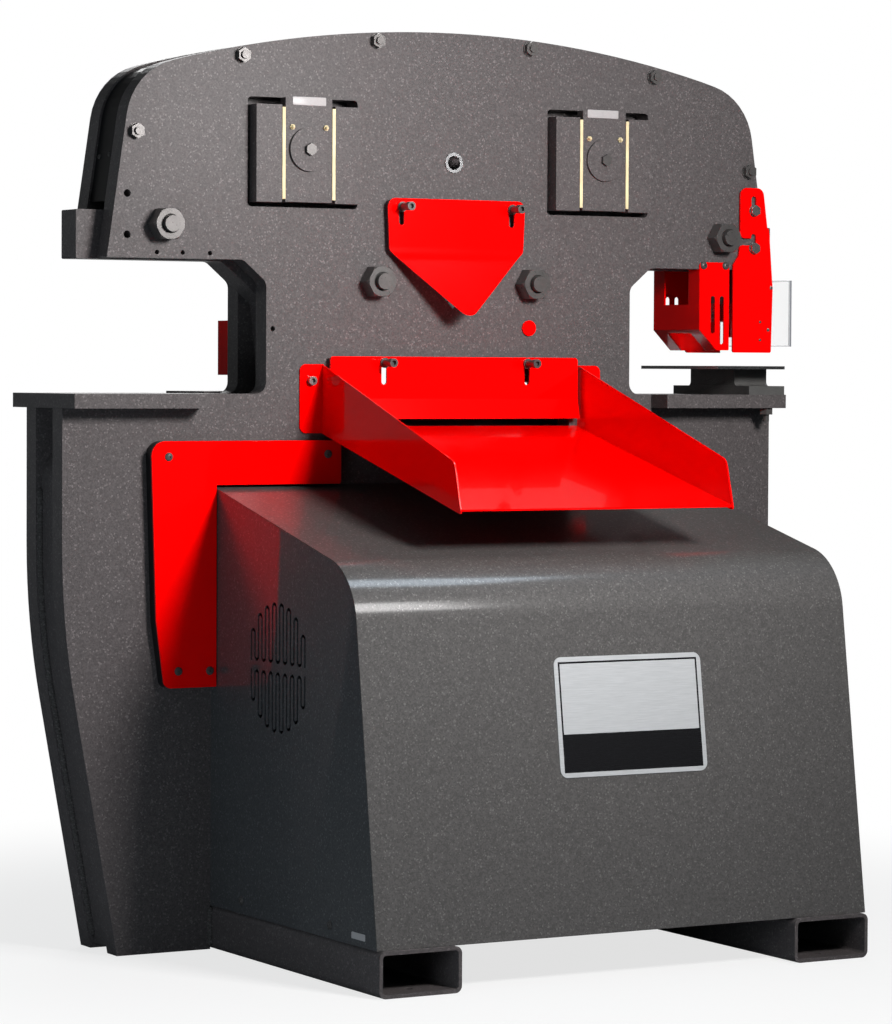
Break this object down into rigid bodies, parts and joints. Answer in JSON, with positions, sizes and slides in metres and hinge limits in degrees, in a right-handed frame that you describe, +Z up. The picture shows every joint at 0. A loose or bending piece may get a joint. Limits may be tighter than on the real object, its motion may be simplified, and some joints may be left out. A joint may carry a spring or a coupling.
{
  "type": "ironworker machine",
  "caption": "Floor-standing hydraulic ironworker with two arched frame plates, punch station, angle and flat shears, open station, drop tray and power unit hood.",
  "frame": {"origin": "on the floor, midway between the two frame plates, at the middle of the arch", "axes": "+X to the punch station, +Z up, -Y to the side with the power unit hood and the drop tray"},
  "size_m": [1.495, 1.01, 1.605],
  "materials": {
    "grey_hammertone": "dark grey textured sparkle paint, semi-gloss",
    "red_powder_coat": "glossy powder coat",
    "black_paint": "satin black",
    "motor_paint": "grey machine enamel",
    "black_oxide_steel": "black oxide fasteners",
    "bright_steel": "ground steel",
    "cast_iron": "rough dark casting",
    "brass": "machined brass",
    "brushed_aluminium": "brushed",
    "clear_polycarbonate": "clear sheet",
    "green_plastic": "gloss",
    "red_plastic": "gloss"
  },
  "bodies": {
    "frame": {"front_plate": "grey_hammertone", "rear_plate": "grey_hammertone", "frame_ribs": "grey_hammertone", "left_table": "grey_hammertone", "right_table": "grey_hammertone", "fork_tubes": "grey_hammertone", "top_cover_strip": "black_paint", "tie_bolts": "black_oxide_steel", "frame_bolts": "black_oxide_steel", "centre_bush": "bright_steel", "hole_plug": "red_powder_coat", "guide_blocks": "grey_hammertone", "brass_gibs": "brass", "angle_lower_blades": "bright_steel", "flat_lower_blade": "bright_steel", "die_block": "cast_iron", "die_insert": "bright_steel", "die_support_plate": "bright_steel", "stripper_guard": "red_powder_coat", "button_screws": "black_oxide_steel", "guard_bolts": "black_oxide_steel", "guard_standoffs": "black_oxide_steel", "drop_tray": "red_powder_coat", "left_face_plate": "red_powder_coat", "left_backing_plate": "black_paint", "hood_cover": "grey_hammertone", "hood_side_left": "grey_hammertone", "hood_side_right": "grey_hammertone", "badge_plate": "brushed_aluminium", "oil_tank": "black_paint", "motor": "motor_paint", "pump": "cast_iron", "valve_block": "cast_iron", "cylinder_body": "black_paint", "hydraulic_pipes": "bright_steel", "rear_guard": "red_powder_coat", "feed_table": "grey_hammertone", "rear_access_cover": "grey_hammertone", "hold_downs": "black_paint", "control_box": "black_paint"},
    "ram": {"upper_beam": "grey_hammertone", "slide_blocks": "grey_hammertone", "slide_pins": "bright_steel", "pin_caps": "grey_hammertone", "cap_bolts": "black_oxide_steel", "grease_nipples": "brass", "angle_upper_blades": "bright_steel", "flat_upper_blade": "bright_steel", "punch_holder": "cast_iron", "punch_nut": "bright_steel", "punch": "bright_steel", "pull_rods": "bright_steel", "piston_rod": "bright_steel"},
    "punch_guard": {"punch_side_guards": "red_powder_coat", "clear_end_shield": "clear_polycarbonate"},
    "angle_guard": {"angle_shear_guard": "red_powder_coat"},
    "flat_guard": {"flat_shear_guard": "red_powder_coat"},
    "drive_shaft": {"drive_shaft": "bright_steel"},
    "start_button": {"start_button": "green_plastic"},
    "stop_button": {"stop_button": "red_plastic"}
  },
  "joints": [
    {"name": "ram_stroke", "type": "slide", "parent": "frame", "child": "ram", "axis": [0, 0, -1], "range_m": [0, 0.06]},
    {"name": "punch_guard_height", "type": "slide", "parent": "frame", "child": "punch_guard", "axis": [0, 0, -1], "range_m": [0, 0.02]},
    {"name": "angle_guard_lift", "type": "slide", "parent": "frame", "child": "angle_guard", "axis": [0, 0, 1], "range_m": [0, 0.025]},
    {"name": "flat_guard_lift", "type": "slide", "parent": "frame", "child": "flat_guard", "axis": [0, 0, 1], "range_m": [0, 0.03]},
    {"name": "drive_spin", "type": "hinge", "parent": "frame", "child": "drive_shaft", "pos_m": [-0.1, -0.375, 0.3682], "axis": [1, 0, 0], "continuous": true},
    {"name": "start_press", "type": "slide", "parent": "frame", "child": "start_button", "axis": [-1, 0, 0], "range_m": [0, 0.004], "stiffness_N_per_m": 500, "springref_m": -0.002},
    {"name": "stop_press", "type": "slide", "parent": "frame", "child": "stop_button", "axis": [-1, 0, 0], "range_m": [0, 0.004], "stiffness_N_per_m": 500, "springref_m": -0.002}
  ]
}
